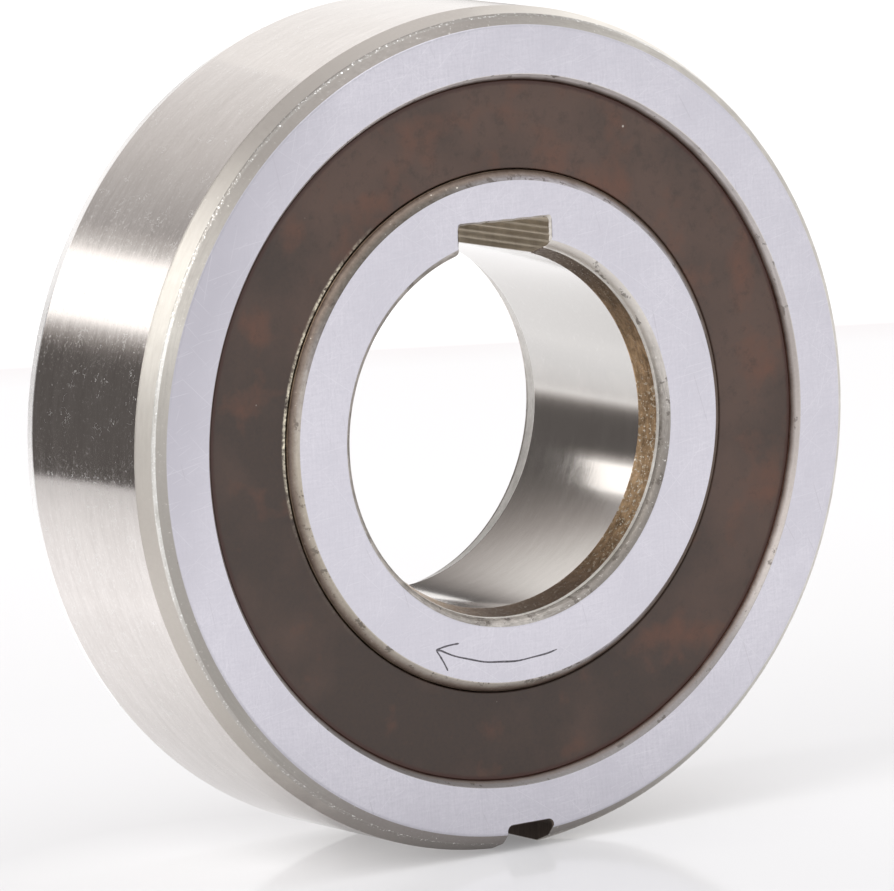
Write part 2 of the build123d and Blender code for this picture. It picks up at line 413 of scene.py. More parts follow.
def keyed_ring(
    rows, bearing, half_wide, floor_shape, sign, flare, steps=(0, 0.0), around=460, lip=0.05
):
    """A profile turned once round +Y with a straight slot along it.

    Columns outside the slot sit on the row's circle. Inside it a point keeps its place across
    the slot, and its height is the slot floor's or the circle's: the lower for a slot that opens
    outwards (sign 1), the higher for one that opens inwards (sign -1). The slot flares a little
    at both faces, its mouth is rounded, and its walls may carry the steps that a broach leaves.
    Besides points and faces it gives the faces in the slot, and those of them in its flare.
    """
    r, y = rows[:, 0:1], rows[:, 1:2]
    across, height = floor_shape
    choose = np.minimum if sign > 0 else np.maximum
    opened = flare * np.clip((np.abs(y) - half + 1.2 * flare) / (1.2 * flare), 0, 1)
    wide = half_wide + opened
    low = height[-1] - sign * opened
    deep = lip * np.clip(sign * (r - np.hypot(wide, low)) / lip, 0, 1)
    start = np.arcsin((wide + lip) / r)
    angle = start + (2 * np.pi - 2 * start) * np.linspace(0, 1, around)[None]
    u = np.radians([30.0, 60.0, 90.0])[None]
    lip_t = wide + lip * (1 - np.sin(u))
    lip_h = np.sqrt(r**2 - lip_t**2) - sign * deep * (1 - np.cos(u))
    count, depth = steps
    v = np.linspace(0, 1, 6 * count + 3)[None, 1:-1]
    begin, end = lip_h[:, 2:], choose(np.sqrt(r**2 - wide**2), low)
    edge_of_all = sign * np.max(sign * begin[deep[:, 0] > 1e-6])
    level = edge_of_all + (height[-1] - edge_of_all) * v
    wall_h = np.clip(level, np.minimum(begin, end), np.maximum(begin, end))
    tooth = (v * count) % 1.0 if count else 0 * v
    wall_t = wide + depth * tooth * np.minimum(1, 5 * (1 - tooth)) * (wall_h == level)
    floor_t = across[None] * wide / half_wide
    floor_h = choose(np.sqrt(r**2 - floor_t**2), height[None] - sign * opened)
    far_t, far_h = [wall_t[:, ::-1], lip_t[:, ::-1]], [wall_h[:, ::-1], lip_h[:, ::-1]]
    t = np.concatenate([r * np.sin(angle), -lip_t, -wall_t, floor_t, *far_t], 1)
    h = np.concatenate([r * np.cos(angle), lip_h, wall_h, floor_h, *far_h], 1)
    turn = math.radians(bearing)
    up, tangent = (math.cos(turn), math.sin(turn)), (math.sin(turn), -math.cos(turn))
    points = np.stack([h * up[0] + t * tangent[0], y + 0 * h, h * up[1] + t * tangent[1]], -1)
    slot = np.zeros(t.shape[1], bool)
    slot[around + 2 : -3] = True
    cut = deep[:, 0] > 1e-6
    inside = slot[None] & (cut & np.roll(cut, -1))[:, None]
    mouth = inside & ((opened[:, 0] > 0) & (np.roll(opened[:, 0], -1) > 0))[:, None]
    return points.reshape(-1, 3), grid_faces(*t.shape, True, True), inside, mouth


def slot_floor(half_wide, height, corner, sign, ridges=0, ridge_height=0.0, count=9):
    """Places across a slot and its floor's height there: flat, with a quarter round each side.

    Ridges add ridge_height times 1 - |sin a| on the flat, with a running over as many half turns.
    """
    u = np.radians(np.linspace(90, 0, 6))
    flat = half_wide - corner
    right = flat + corner * np.cos(u)
    lift = corner * (1 - np.sin(u))
    middle = np.linspace(-flat, flat, count)[1:-1]
    across = np.concatenate([-right[::-1], middle, right])
    rise = np.concatenate([lift[::-1], 0 * middle, lift])
    if ridges:
        wave = np.abs(np.sin(np.pi * ridges * (across + flat) / (2 * flat)))
        rise = rise + ridge_height * (1 - wave) * (np.abs(across) < flat)
    return across, height + sign * rise


def mm_place(tree):
    """Object coordinates in mm."""
    place = add(tree, "TexCoord", output=3)
    return add(tree, "VectorMath", {0: place, "Scale": 1 / MM}, operation="SCALE")


def axis_distance(tree, place):
    """How far a place is from the clutch axis."""
    return vector(tree, "LENGTH", vector(tree, "MULTIPLY", place, (1, 0, 1)))


def along_bearing(tree, place, bearing):
    """How far a place lies from the axis along a bearing in degrees, from +X towards +Z."""
    turn = math.radians(bearing)
    return vector(tree, "DOT_PRODUCT", place, (math.cos(turn), 0, math.sin(turn)))


def round_place(tree, place, along, over, radial=False):
    """Coordinates that run round the clutch axis, for marks that are long along the turning."""
    parts = add(tree, "SeparateXYZ", {0: place}).node.outputs
    flat = add(tree, "CombineXYZ", {0: parts[0], 2: parts[2]})
    unit = vector(tree, "NORMALIZE", flat)
    long_way = add(tree, "VectorMath", {0: unit, "Scale": along}, operation="SCALE")
    width = vector(tree, "LENGTH", flat) if radial else parts[1]
    rise = add(tree, "CombineXYZ", {1: calc(tree, "MULTIPLY", width, over)})
    return vector(tree, "ADD", long_way, rise)


def noise(
    tree, place, scale=1.0, detail=4.0, rough=0.55, stretch=None, turn=(0, 0, 0), shift=(0, 0, 0)
):
    """Noise of a place, which may be shifted, turned and stretched first."""
    if stretch or any(turn) or any(shift):
        laid = {"Vector": place, "Location": shift, "Rotation": turn, "Scale": stretch or (1, 1, 1)}
        place = add(tree, "Mapping", laid)
    settings = {"Vector": place, "Scale": scale, "Detail": detail, "Roughness": rough}
    return add(tree, "TexNoise", settings)


def hairline(tree, value, width):
    """Thin lines where a noise crosses a half: 1 on the line, 0 beside it."""
    off = calc(tree, "ABSOLUTE", calc(tree, "SUBTRACT", value, 0.5))
    return span(tree, off, 0.0, width, 1.0, 0.0)


def relief(tree, shader, height, depth, under=None):
    """A bump of a depth in mm, over an earlier one if there is one."""
    inputs = {"Height": height, "Distance": depth * MM, "Strength": 1.0}
    if under is not None:
        inputs["Normal"] = under
    made = add(tree, "Bump", inputs)
    tree.links.new(made, shader.inputs["Normal"])
    return made


def join(tree, shader, colour, roughness, metallic=1.0):
    """Feeds a shader's colour and roughness and sets how metallic it is."""
    tree.links.new(colour, shader.inputs["Base Color"])
    tree.links.new(roughness, shader.inputs["Roughness"])
    shader.inputs["Metallic"].default_value = metallic


def scuffs(tree, place, many=0.6, wide=0.006, size=1.6):
    """Short curly scuffs, which show only in a few places."""
    curl = noise(tree, place, scale=size, detail=2.5, rough=0.6, shift=(4, 1, 8))
    gate = noise(tree, place, scale=size * 0.55, detail=1.0, shift=(9, 5, 2))
    line = hairline(tree, curl, wide)
    return calc(tree, "MULTIPLY", line, span(tree, gate, many, many + 0.04))


def paint_shading(tree, place, tone, mottle, painted_shading):
    """Paints light and shade into a tone on parts of a ring.

    A shade is (bearing, near, far, colour): along that bearing the tone starts to turn at near
    mm from the axis and is almost the colour at far mm. A darker colour there is painted shade,
    a lighter one painted light.
    """
    for bearing, near, far, colour in painted_shading:
        reach = calc(tree, "MULTIPLY_ADD", mottle, 2.0, along_bearing(tree, place, bearing))
        tone = blend(tree, span(tree, reach, near + 1.0, far + 1.0, 0.0, 0.9), tone, colour)
    return tone


def ground_round(
    name,
    light,
    dark,
    rough=(0.07, 0.13),
    along=26.0,
    depth=0.0005,
    specks=0.2,
    scuffed=1.0,
    painted_shading=(),
):
    """Cylindrically ground steel: short fine streaks round the axis, specks and curly scuffs."""
    made, tree, shader = blank(name)
    place = mm_place(tree)
    fine = noise(tree, round_place(tree, place, along, 8.0), rough=0.7)
    broad = noise(tree, round_place(tree, place, along * 0.25, 1.6), detail=3.0)
    darkening = noise(tree, place, scale=0.3)
    grit = noise(tree, place, scale=5.0, detail=3.0, rough=0.7)
    share = span(tree, calc(tree, "ADD", fine, broad), 0.72, 1.28)
    tone = blend(tree, share, dark, light)
    tone = blend(tree, span(tree, darkening, 0.45, 0.75, 0.0, 0.5), tone, dark)
    tone = paint_shading(tree, place, tone, darkening, painted_shading)
    marks = calc(tree, "MULTIPLY", scuffs(tree, place), scuffed)
    bright = span(tree, grit, 0.55, 0.75)
    shine = calc(tree, "MULTIPLY_ADD", bright, 0.35 * scuffed, marks)
    tone = blend(tree, shine, tone, (0.95, 0.95, 0.94, 1))
    wear = span(tree, share, 0.0, 1.0, *rough)
    wear = calc(tree, "MULTIPLY_ADD", marks, 0.45, wear)
    wear = calc(tree, "MULTIPLY_ADD", bright, specks, wear)
    join(tree, shader, tone, wear)
    relief(tree, shader, share, depth)
    return made


def scratches(tree, place, angle, row, long, wide, chance, seed):
    """Straight scratches on a flat face: one at most in each cell of a turned, brick-laid grid.

    A cell draws whether it has a scratch, how long it is, where it starts across the cell and how
    far it leans; its ends fade out.
    """
    turned_by = {"Rotation": (0, angle, 0), "Location": (seed * 3.7, 0, seed * 1.9)}
    laid = add(tree, "Mapping", {"Vector": place, **turned_by})
    parts = add(tree, "SeparateXYZ", {0: laid}).node.outputs
    across = calc(tree, "DIVIDE", parts[2], row)
    line = calc(tree, "FLOOR", across)
    number = calc(tree, "ADD", line, seed)
    start = add(tree, "TexWhiteNoise", {"W": number}, noise_dimensions="1D")
    along = calc(tree, "MULTIPLY_ADD", parts[0], 1 / long, start)
    cell = add(tree, "CombineXYZ", {0: calc(tree, "FLOOR", along), 1: line, 2: seed})
    drawn = add(tree, "TexWhiteNoise", {"Vector": cell}, noise_dimensions="3D").node.outputs
    chances = add(tree, "SeparateXYZ", {0: drawn["Color"]}).node.outputs
    u = calc(tree, "SUBTRACT", calc(tree, "FRACT", along), 0.5)
    v = calc(tree, "FRACT", across)
    middle = span(tree, chances[0], 0.0, 1.0, 0.3, 0.7)
    slope = span(tree, chances[1], 0.0, 1.0, -0.55, 0.55)
    lean = calc(tree, "MULTIPLY_ADD", slope, u, middle)
    off = calc(tree, "ABSOLUTE", calc(tree, "SUBTRACT", v, lean))
    body = span(tree, off, 0.2 * wide / row, 0.6 * wide / row, 1.0, 0.0)
    end = span(tree, chances[2], 0.0, 1.0, 0.1, 0.5)
    reach = calc(tree, "SUBTRACT", end, calc(tree, "ABSOLUTE", u))
    body = calc(tree, "MULTIPLY", body, span(tree, reach, 0.0, 0.12))
    shown = span(tree, drawn["Value"], 1 - chance, 1.0)
    return calc(tree, "MULTIPLY", body, shown)


# Each set of fine scratches on a ground face: angle, row, length, width and chance.
scratch_sets = (
    (0.75, 0.7, 7.0, 0.04, 0.6),
    (-0.62, 0.9, 8.0, 0.04, 0.5),
    (1.25, 0.6, 4.0, 0.04, 0.45),
    (0.15, 0.4, 3.0, 0.045, 0.5),
    (2.3, 0.7, 5.0, 0.04, 0.4),
    (0.4, 0.3, 1.1, 0.04, 0.35),
)


def ground_face(name, light, dark, rough=(0.3, 0.42), painted_shading=()):
    """Flat-ground steel: a faint cross hatch, fine straight scratches and a soft cloudiness."""
    made, tree, shader = blank(name)
    place = mm_place(tree)
    level = noise(tree, place, rough=0.7, stretch=(0.8, 1, 6.0), turn=(0, 0.06, 0))
    plumb = noise(
        tree, place, rough=0.7, stretch=(7.0, 1, 0.6), turn=(0, -0.12, 0), shift=(3, 0, 7)
    )
    cloud = noise(tree, place, scale=0.22, detail=5.0, rough=0.6)
    grain = noise(tree, place, scale=6.0, rough=0.7)
    share = calc(tree, "ADD", calc(tree, "ADD", level, plumb), grain)
    share = span(tree, share, 1.15, 1.85)
    tone = blend(tree, share, dark, light)
    tone = blend(tree, span(tree, cloud, 0.35, 0.7, 0.0, 0.7), tone, dark)
    tone = paint_shading(tree, place, tone, cloud, painted_shading)
    lines = None
    for seed, one_set in enumerate(scratch_sets):
        one = scratches(tree, place, *one_set, seed + 1.0)
        lines = one if lines is None else calc(tree, "MAXIMUM", lines, one)
    tone = blend(tree, span(tree, lines, 0.0, 1.0, 0.0, 0.2), tone, (0.97, 0.96, 0.99, 1))
    dull = scratches(tree, place, 1.9, 1.3, 3.5, 0.06, 0.35, 9.0)
    tone = blend(tree, span(tree, dull, 0.0, 1.0, 0.0, 0.25), tone, (0.35, 0.33, 0.36, 1))
    nicks = noise(tree, place, scale=2.6, rough=0.7, shift=(1, 7, 3))
    tone = blend(tree, span(tree, nicks, 0.70, 0.76, 0.0, 0.5), tone, (0.3, 0.28, 0.3, 1))
    join(tree, shader, tone, span(tree, share, 0.0, 1.0, *rough))
    under = relief(tree, shader, share, 0.003)
    relief(tree, shader, lines, 0.001, under=under)
    return made


def rough_turned(
    name,
    light,
    dark,
    sparkle,
    rough=(0.25, 0.5),
    speck=9.0,
    glints=0.62,
    darkening=None,
    depth=0.006,
    painted_shading=(),
    nicks=0.70,
    lit=None,
):
    """Turned steel left as it comes off the tool: speckled, with painted glints on its ridges.

    Speck is the scale of its grit, and grit above the level glints is painted bright in the
    sparkle colour, a painted highlight. A darkening by radius is (radius, radius, colour, colour):
    the steel darkens from the second radius, where it has the second colour, to the first, beside
    a shield's gap. Nicks is the level above which noise makes a dark spot. Lit is (bearing, near,
    far), the side where most painted glints are.
    """
    made, tree, shader = blank(name)
    place = mm_place(tree)
    rings = noise(tree, round_place(tree, place, 18.0, 14.0, radial=True), rough=0.65)
    mottle = noise(tree, place, scale=0.7, detail=5.0, rough=0.6)
    grit = noise(tree, place, scale=speck, detail=3.0, rough=0.7)
    share = calc(tree, "ADD", rings, mottle)
    tone = blend(tree, span(tree, share, 0.75, 1.25), dark, light)
    tone = paint_shading(tree, place, tone, mottle, painted_shading)
    nick = noise(tree, place, scale=1.1, rough=0.7, shift=(3, 5, 1))
    nick = span(tree, nick, nicks, nicks + 0.04, 0.0, 0.6)
    tone = blend(tree, nick, tone, (0.12, 0.10, 0.085, 1))
    # Painted highlights: the glints are bright colour painted onto the grit.
    shine = span(tree, grit, glints, glints + 0.08)
    if lit:
        bearing, near, far = lit
        reach = span(tree, along_bearing(tree, place, bearing), near, far, 0.15, 1.0)
        shine = calc(tree, "MULTIPLY", shine, reach)
    if darkening:
        near, far, deep, mild = darkening
        width = axis_distance(tree, place)
        wander = calc(tree, "MULTIPLY_ADD", mottle, (far - near) * 0.9, width)
        wander = calc(tree, "ADD", wander, (far - near) * -0.45)
        gone = span(tree, wander, near, far)
        tone = blend(tree, span(tree, wander, far, far + (far - near) * 1.2), mild, tone)
        tone = blend(tree, gone, deep, tone)
        shine = calc(tree, "MULTIPLY", shine, gone)
    tone = blend(tree, shine, tone, sparkle)
    join(tree, shader, tone, span(tree, grit, 0.35, 0.65, rough[1], rough[0]))
    relief(tree, shader, calc(tree, "ADD", rings, grit), depth)
    return made


def dull_steel(name, dark, light, rough=(0.35, 0.6), scale=1.2, metallic=1.0, axial=False):
    """Plain steel inside the clutch, oily and cloudy; axial gives the lines of a broach.

    With metallic at 0 it is a moulded polymer.
    """
    made, tree, shader = blank(name)
    place = mm_place(tree)
    cloud = noise(tree, place, scale=scale, detail=5.0, rough=0.6)
    if axial:
        rings = noise(tree, place, rough=0.6, stretch=(6.0, 0.15, 6.0))
    else:
        rings = noise(tree, round_place(tree, place, 5.0, 12.0), detail=3.0)
    share = span(tree, calc(tree, "ADD", cloud, rings), 0.7, 1.3)
    tone = blend(tree, share, dark, light)
    join(tree, shader, tone, span(tree, share, 0, 1, *rough), metallic)
    relief(tree, shader, share, 0.003)
    return made


face_light = (0.745, 0.725, 0.78, 1)
outer_materials = [
    ground_round("outer_ground_side", (0.71, 0.675, 0.65, 1), (0.62, 0.585, 0.56, 1)),
    rough_turned(
        "outer_turned_cone",
        (0.88, 0.85, 0.79, 1), (0.78, 0.745, 0.685, 1), (0.98, 0.97, 0.93, 1),
        rough=(0.42, 0.5), speck=5.0, glints=0.70, depth=0.0015,
        # Painted shade at the top, lower left and bottom.
        painted_shading=(
            (112, 18.0, 22.3, (0.49, 0.455, 0.425, 1)),
            (207, 17.0, 22.0, (0.50, 0.465, 0.425, 1)),
            (252, 20.8, 22.6, (0.38, 0.345, 0.325, 1)),
        ),
    ),
    ground_face(
        "outer_ground_face",
        face_light,
        (0.60, 0.585, 0.64, 1),
        # Painted shade on the left.
        painted_shading=((157, 16.0, 21.5, (0.52, 0.505, 0.555, 1)),),
    ),
    rough_turned(
        "outer_mouth_bevel",
        (0.84, 0.80, 0.78, 1), (0.66, 0.62, 0.60, 1), (0.95, 0.9, 0.82, 1),
        rough=(0.5, 0.65), speck=7.0, glints=0.70,
        # Painted shade of the gap round the shield: the bevel darkens towards its inner edge.
        darkening=(19.47, 19.56, (0.04, 0.022, 0.016, 1), (0.30, 0.25, 0.225, 1)),
        depth=0.004,
        # Painted shade on the left, at the bottom and on the right.
        painted_shading=(
            (172, 12.0, 17.5, (0.22, 0.185, 0.17, 1)),
            (275, 8.0, 15.0, (0.31, 0.29, 0.285, 1)),
            (350, 16.5, 19.0, (0.62, 0.57, 0.54, 1)),
        ),
        nicks=0.60,
    ),
    dull_steel("outer_inside", (0.10, 0.05, 0.035, 1), (0.2, 0.11, 0.085, 1)),
    rough_turned(
        "outer_worn_edge",
        (0.90, 0.89, 0.86, 1), (0.62, 0.60, 0.56, 1), (1.0, 1.0, 0.98, 1),
        rough=(0.3, 0.5), speck=7.0, glints=0.58, depth=0.008,
        # Painted shade at the top, lower left and bottom.
        painted_shading=(
            (112, 14.0, 19.5, (0.27, 0.25, 0.23, 1)),
            (225, 19.0, 22.0, (0.48, 0.455, 0.425, 1)),
            (262, 18.0, 22.0, (0.36, 0.33, 0.31, 1)),
        ),
    ),
    dull_steel("outer_key_slot", (0.075, 0.055, 0.045, 1), (0.19, 0.15, 0.125, 1)),
    rough_turned(
        "outer_inner_cone",
        (0.60, 0.575, 0.53, 1), (0.46, 0.435, 0.40, 1), (0.95, 0.94, 0.89, 1),
        rough=(0.4, 0.52), speck=5.0, glints=0.66, depth=0.003,
        # Painted shade at the top, left and bottom.
        painted_shading=(
            (112, 16.0, 21.5, (0.29, 0.265, 0.245, 1)),
            (195, 19.0, 22.0, (0.41, 0.385, 0.355, 1)),
            (262, 17.0, 21.5, (0.34, 0.31, 0.295, 1)),
        ),
    ),
    rough_turned(
        "outer_rear_cone",
        (0.95, 0.945, 0.935, 1), (0.88, 0.87, 0.86, 1), (1.0, 1.0, 1.0, 1),
        rough=(0.25, 0.35), speck=5.0, glints=0.70, depth=0.0015,
    ),
]
SIDE, CORNER, FACE, BEVEL, INSIDE, EDGE, SLOT, INNER_CONE, REAR_CORNER = range(9)

groove_ends = (outer_race, groove_y + groove_half), (outer_race, groove_y - groove_half)
outer_rows, outer_kinds = cut_corners(
    [
        (wall_radius, -half, 0, FACE),
        (outer_radius - corner_in, -half, 0.08, INNER_CONE, FACE),
        (ridge_radius, -ridge_y, 0.13, CORNER, EDGE),
        (outer_radius, -half + corner_along, 0.07, SIDE, CORNER),
        (outer_radius, half - corner_along, 0.07, REAR_CORNER),
        (ridge_radius, ridge_y, 0.13, INNER_CONE, EDGE),
        (outer_radius - corner_in, half, 0.08, FACE),
        (wall_radius, half, 0, FACE),
        (face_middle, half, 0, FACE),
        (mouth_edge, half, 0.04, BEVEL),
        (mouth_radius, mouth_start, 0.04, INSIDE),
        (mouth_radius, shield_back, 0.05, INSIDE),
        (outer_race, shield_back, 0.05, INSIDE),
        (*groove_ends[0], 0.04, INSIDE),
        *[(*point, 0, INSIDE) for point in crowned(*groove_ends, groove_depth)],
        (*groove_ends[1], 0.04, INSIDE),
        (outer_race, -shield_back, 0.05, INSIDE),
        (mouth_radius, -shield_back, 0.05, INSIDE),
        (mouth_radius, -mouth_start, 0.04, BEVEL, INSIDE),
        (mouth_edge, -half, 0.03, FACE, BEVEL),
        (face_middle, -half, 0, FACE),
    ]
)
floor_shape = slot_floor(key_half, key_floor, key_corner, 1)
points, faces, inside, _ = keyed_ring(
    outer_rows, key_bearing, key_half, floor_shape, 1, key_flare
)
kinds = np.where(inside, SLOT, outer_kinds[:, None])
outer_ring = put_mesh("case_ring", points, faces, kinds, outer_materials)
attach(outer_ring, "outer")
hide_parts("outer_ring")


# ---- Inner ring ----------------------------------------------------------------------------
# The shaft ring: bearing steel with ground faces and bore, a turned cone and rounding at each
# end of the bore, bevelled shoulders and a key slot broached right through.

inner_race, bore, lead_in = 14.5, 10.0, 10.4
round_radial, round_axial, round_crown = 0.49, 0.62, 0.12
lead_in_long, shoulder = 1.25, 0.5
shaft_key_half, shaft_key_floor, shaft_key_corner, shaft_key_flare = 3.0, 11.7, 0.2, 0.13
shaft_key_bearing = 88.5
broach_ridges, ridge_height, floor_places = 5, 0.03, 31
broach_steps = (5, 0.045)
inner_face_middle = 12.8
shaft_wall = math.hypot(
    shaft_key_half + shaft_key_flare, shaft_key_floor - shaft_key_corner + shaft_key_flare
)
cone_out = half - round_axial
cone_in = cone_out - lead_in_long
round_edge = lead_in + round_radial

inner_materials = [
    ground_round(
        "bore_ground",
        (0.70, 0.67, 0.64, 1), (0.65, 0.62, 0.59, 1),
        rough=(0.09, 0.12),
        along=14.0,
        depth=0.0004,
        specks=0.03,
        scuffed=0.25,
        # Painted shade over the upper half of the bore.
        painted_shading=((90, -1.0, 2.0, (0.53, 0.52, 0.505, 1)),),
    ),
    rough_turned(
        "bore_cone",
        (0.66, 0.46, 0.28, 1), (0.20, 0.135, 0.08, 1), (1.0, 0.95, 0.82, 1),
        speck=5.5,
        glints=0.56,
        depth=0.012,
        # Painted shade at the top and bottom; the painted glints crowd on the right.
        painted_shading=((90, 3.0, 8.0, (0.11, 0.08, 0.06, 1)), (280, 7.5, 9.8, (0.12, 0.085, 0.065, 1))),
        lit=(338, 8.0, 10.0),
    ),
    ground_face("inner_ground_face", face_light, (0.61, 0.595, 0.65, 1)),
    rough_turned(
        "inner_shoulder",
        (0.66, 0.63, 0.65, 1), (0.36, 0.33, 0.335, 1), (0.9, 0.85, 0.75, 1),
        rough=(0.5, 0.7), speck=5.0, glints=0.68,
        # The shoulder darkens towards its outer edge, beside the shield's gap.
        darkening=(14.49, 14.31, (0.06, 0.035, 0.025, 1), (0.30, 0.24, 0.20, 1)),
        depth=0.004,
        # Painted shade at the upper left and right, painted light at the lower left and bottom.
        painted_shading=(
            (125, 10.0, 13.5, (0.15, 0.13, 0.105, 1)),
            (208, 8.0, 12.5, (0.60, 0.54, 0.45, 1)),
            (255, 11.5, 13.8, (0.66, 0.61, 0.54, 1)),
            (345, 9.0, 13.0, (0.20, 0.15, 0.12, 1)),
        ),
        nicks=0.56,
    ),
    dull_steel("inner_race", (0.14, 0.10, 0.07, 1), (0.28, 0.21, 0.15, 1)),
    rough_turned(
        "inner_worn_edge",
        (1.0, 0.99, 0.96, 1), (0.72, 0.69, 0.65, 1), (1.0, 0.98, 0.92, 1),
        rough=(0.3, 0.5), speck=7.0, glints=0.58, depth=0.004,
    ),
    dull_steel(
        "shaft_key_slot", (0.36, 0.31, 0.24, 1), (0.60, 0.53, 0.43, 1), (0.45, 0.6), axial=True
    ),
    rough_turned(
        "bore_rounding",
        (0.68, 0.64, 0.60, 1), (0.29, 0.265, 0.24, 1), (0.95, 0.92, 0.87, 1),
        rough=(0.45, 0.6), speck=6.0, glints=0.64,
        # Painted shade at the lower right, painted light at the upper right.
        painted_shading=(
            (322, 7.5, 10.0, (0.27, 0.245, 0.22, 1)),
            (50, 7.0, 10.0, (0.78, 0.74, 0.69, 1)),
        ),
        nicks=0.58,
    ),
    rough_turned(
        "bore_rear_cone",
        (0.60, 0.58, 0.55, 1), (0.45, 0.43, 0.40, 1), (0.9, 0.87, 0.78, 1),
        rough=(0.35, 0.5), speck=6.0, glints=0.68,
    ),
]
BORE, CONE, IFACE, SHOULDER, RACE, IEDGE, KEYWAY, ROUND, REAR_CONE = range(9)

front_round = crowned((lead_in, -cone_out), (round_edge, -half), round_crown, 5)
rear_round = crowned((round_edge, half), (lead_in, cone_out), round_crown, 5)
groove_ends = (inner_race, groove_y - groove_half), (inner_race, groove_y + groove_half)
inner_rows, inner_kinds = cut_corners(
    [
        (inner_race, -half + shoulder, 0.05, RACE),
        (*groove_ends[0], 0.04, RACE),
        *[(*point, 0, RACE) for point in crowned(*groove_ends, -groove_depth)],
        (*groove_ends[1], 0.04, RACE),
        (inner_race, half - shoulder, 0.05, SHOULDER),
        (inner_race - shoulder, half, 0.05, IFACE),
        (inner_face_middle, half, 0, IFACE),
        (shaft_wall, half, 0, IFACE),
        (round_edge, half, 0.04, ROUND),
        *[(*point, 0, ROUND) for point in rear_round],
        (lead_in, cone_out, 0.04, REAR_CONE),
        (bore, cone_in, 0.05, BORE),
        (bore, -cone_in, 0.05, CONE),
        (lead_in, -cone_out, 0.10, ROUND, IEDGE),
        *[(*point, 0, ROUND) for point in front_round],
        (round_edge, -half, 0.04, IFACE),
        (shaft_wall, -half, 0, IFACE),
        (inner_face_middle, -half, 0, IFACE),
        (inner_race - shoulder, -half, 0.05, SHOULDER),
    ]
)
floor_shape = slot_floor(
    shaft_key_half,
    shaft_key_floor,
    shaft_key_corner,
    -1,
    broach_ridges,
    ridge_height,
    floor_places,
)
points, faces, inside, mouth = keyed_ring(
    inner_rows,
    shaft_key_bearing,
    shaft_key_half,
    floor_shape,
    -1,
    shaft_key_flare,
    broach_steps,
)
kinds = np.where(mouth, ROUND, np.where(inside, KEYWAY, inner_kinds[:, None]))
inner_ring = put_mesh("shaft_ring", points, faces, kinds, inner_materials)
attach(inner_ring, "inner")
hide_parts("inner_ring")


# ---- Shields -------------------------------------------------------------------------------
# Flat washers stamped from dark brown phenolic sheet and pressed into the mouths of the case.
# They stand just clear of the shaft ring.

shield_out, shield_in, shield_front = 19.47, 14.56, 6.5
shield_edge = 0.06
rim_gap_shade = (19.26, 19.42)
rim_glint = (14.83, 14.71)


def turned(rows, around=420):
    """A closed profile turned once round +Y: at an angle A a row lies at (r cos A, y, r sin A)."""
    angle = np.linspace(0, 2 * np.pi, around, endpoint=False)[None]
    r, y = rows[:, 0:1], rows[:, 1:2]
    points = np.stack([r * np.cos(angle), y + 0 * angle, r * np.sin(angle)], -1).reshape(-1, 3)
    return points, grid_faces(len(rows), around, True, True)


phenolic, tree, shader = blank("brown_phenolic")
place = mm_place(tree)
parts = add(tree, "SeparateXYZ", {0: place}).node.outputs
width = axis_distance(tree, place)
high_side = vector(tree, "DOT_PRODUCT", place, (0.02, 0, 0.035))
patches = noise(tree, place, scale=0.17, rough=0.5)
rust = noise(tree, place, scale=0.3, detail=5.0, shift=(11, 3, 5))
speckle = noise(tree, place, scale=4.5, rough=0.75)
dark_spots = noise(tree, place, scale=1.3, detail=6.0, rough=0.75, shift=(2, 9, 4))

# Sheet colour: broad patches, rust-brown ones and dark spots, all more towards the upper right.
brown = span(tree, calc(tree, "MULTIPLY_ADD", high_side, 0.22, patches), 0.35, 0.65)
tone = blend(tree, brown, (0.041, 0.026, 0.020, 1), (0.086, 0.050, 0.037, 1))
redder = calc(tree, "MULTIPLY_ADD", high_side, 0.07, rust)
tone = blend(tree, span(tree, redder, 0.53, 0.70, 0.0, 0.75), tone, (0.13, 0.052, 0.030, 1))
darker = calc(tree, "MULTIPLY_ADD", high_side, 0.06, dark_spots)
tone = blend(tree, span(tree, darker, 0.55, 0.7, 0.0, 0.4), tone, (0.016, 0.011, 0.009, 1))
tone = blend(tree, span(tree, speckle, 0.3, 0.7, 0.0, 0.16), tone, (0.14, 0.09, 0.06, 1))

# A few specks of dust, and painted shade of the gap round the outer rim.
cells = add(tree, "TexVoronoi", {"Vector": place, "Scale": 0.5, "Randomness": 1.0})
specks = span(tree, cells, 0.03, 0.045, 1.0, 0.0)
dust = calc(tree, "MULTIPLY", specks, span(tree, rust, 0.5, 0.52))
tone = blend(tree, span(tree, dust, 0.0, 1.0, 0.0, 0.7), tone, (0.6, 0.56, 0.5, 1))
wander = calc(tree, "MULTIPLY_ADD", dark_spots, 0.22, width)
tone = blend(tree, span(tree, wander, *rim_gap_shade), tone, (0.05, 0.017, 0.010, 1))

# A painted highlight: the broken golden line on the upper left of the inner rim, where the cut
# edge catches light.
left = calc(tree, "MULTIPLY", span(tree, parts[0], -8.0, -12.0), span(tree, speckle, 0.38, 0.6))
left = calc(tree, "MULTIPLY", left, span(tree, parts[2], -4.5, 1.0, 0.05, 1.0))
bright = calc(tree, "MULTIPLY", span(tree, width, *rim_glint), left)
bright = calc(tree, "MULTIPLY", bright, span(tree, dark_spots, 0.42, 0.52, 0.25, 1.0))
tone = blend(tree, bright, tone, (1.0, 0.92, 0.72, 1))
join(tree, shader, tone, span(tree, speckle, 0.3, 0.7, 0.36, 0.5), 0.0)
relief(tree, shader, speckle, 0.004)

